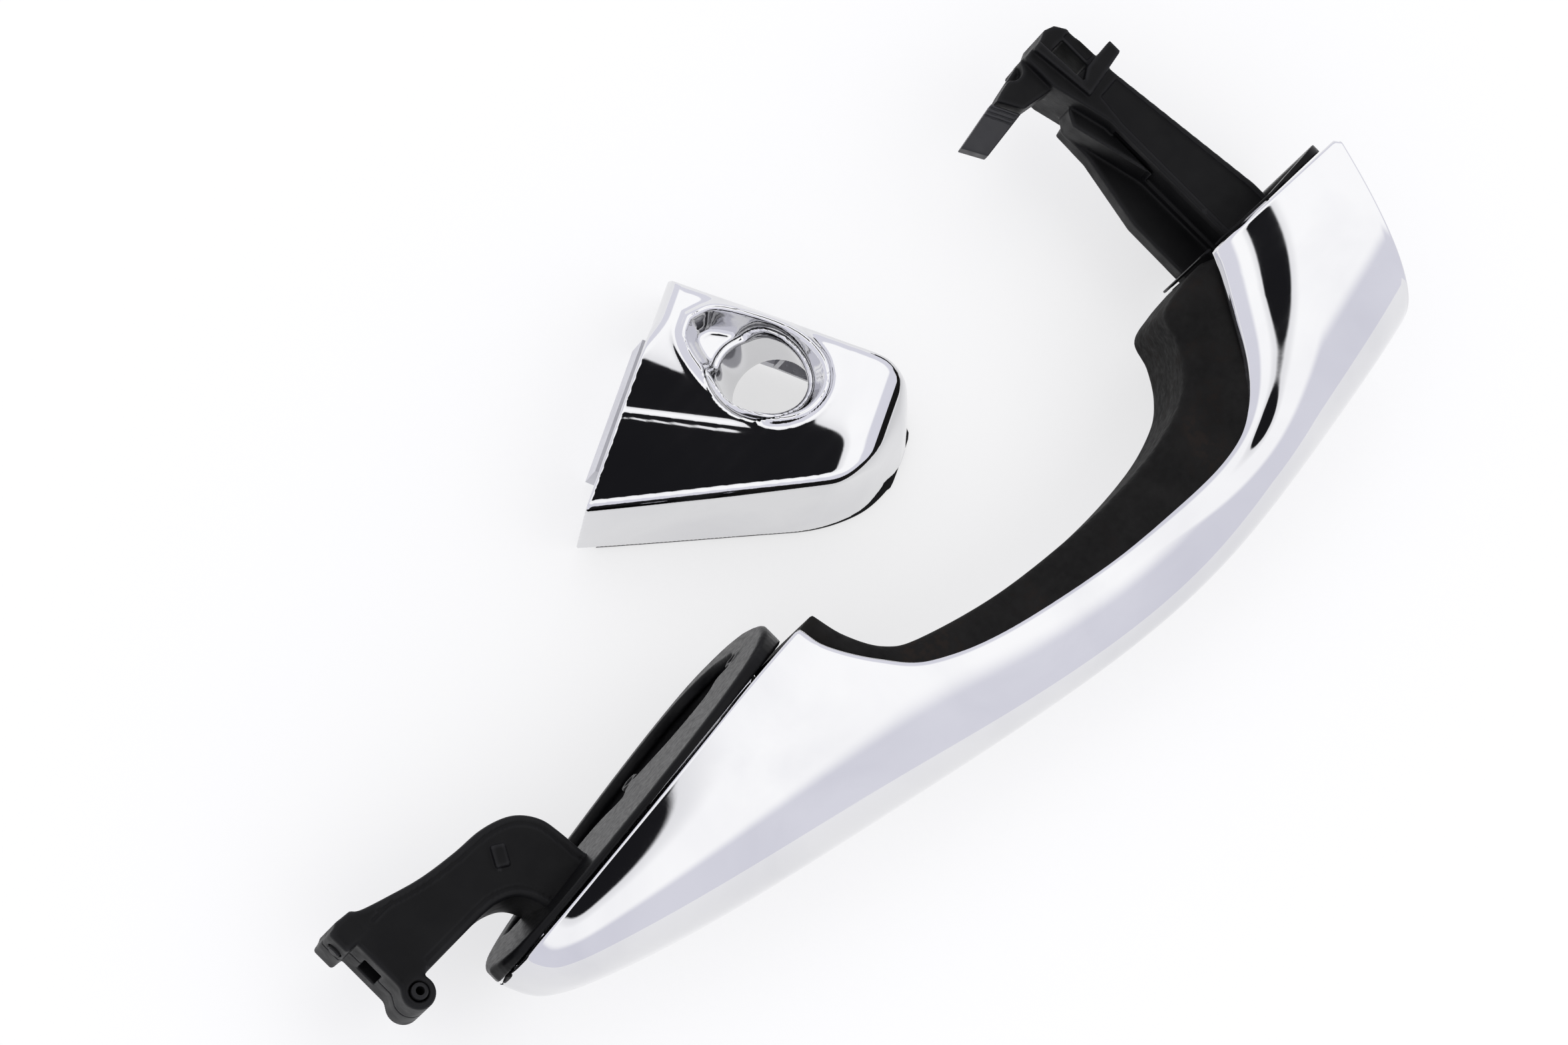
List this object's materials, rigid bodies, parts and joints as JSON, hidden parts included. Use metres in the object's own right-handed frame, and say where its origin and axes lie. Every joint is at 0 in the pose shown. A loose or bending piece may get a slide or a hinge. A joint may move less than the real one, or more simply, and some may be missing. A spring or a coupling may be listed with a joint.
{
  "type": "car door handle",
  "caption": "Pull-type outer car door handle with chrome shell, black grip, hinged front arm, rear lever arm, door pads and a loose lock cap.",
  "frame": {"origin": "centre of the pivot pin's lower end face", "axes": "+X forward along the door, +Y out of the door, +Z along the pivot pin, up when the handle lies on its flank"},
  "size_m": [0.2325, 0.1056, 0.042],
  "materials": {
    "chrome": "bright mirror plating",
    "grained_black": "matte black plastic with fine grain",
    "satin_black": "satin black glass-filled plastic",
    "pad_rubber": "semi-gloss black soft plastic",
    "steel": "plain turned steel",
    "grey_plastic": "satin grey plastic"
  },
  "bodies": {
    "door_side": {"front_pad": "pad_rubber", "rear_pad": "pad_rubber", "pivot_pin": "satin_black"},
    "grip": {"outer_shell": "chrome", "grip_inner": "grained_black", "grip_spine": "satin_black", "front_arm": "satin_black", "front_arm_tip": "satin_black", "arm_end_pin": "satin_black", "rear_arm": "satin_black", "lever_tongue": "grey_plastic", "front_screw_1": "steel", "front_screw_2": "steel", "rear_screw_1": "steel", "rear_screw_2": "steel"},
    "key_cap": {"key_cap_shell": "chrome", "key_cap_sleeve": "chrome", "key_cap_frame": "grey_plastic", "key_cap_strip": "pad_rubber", "cap_clip_1": "steel", "cap_clip_2": "steel"}
  },
  "joints": [
    {"name": "grip_swing", "type": "hinge", "parent": "door_side", "child": "grip", "pos_m": [0, 0, 0.0083], "axis": [0, 0, -1], "range_deg": [0, 9]},
    {"name": "cap_lift", "type": "slide", "parent": "door_side", "child": "key_cap", "axis": [0, 0, 1], "range_m": [0, 0.045]}
  ]
}
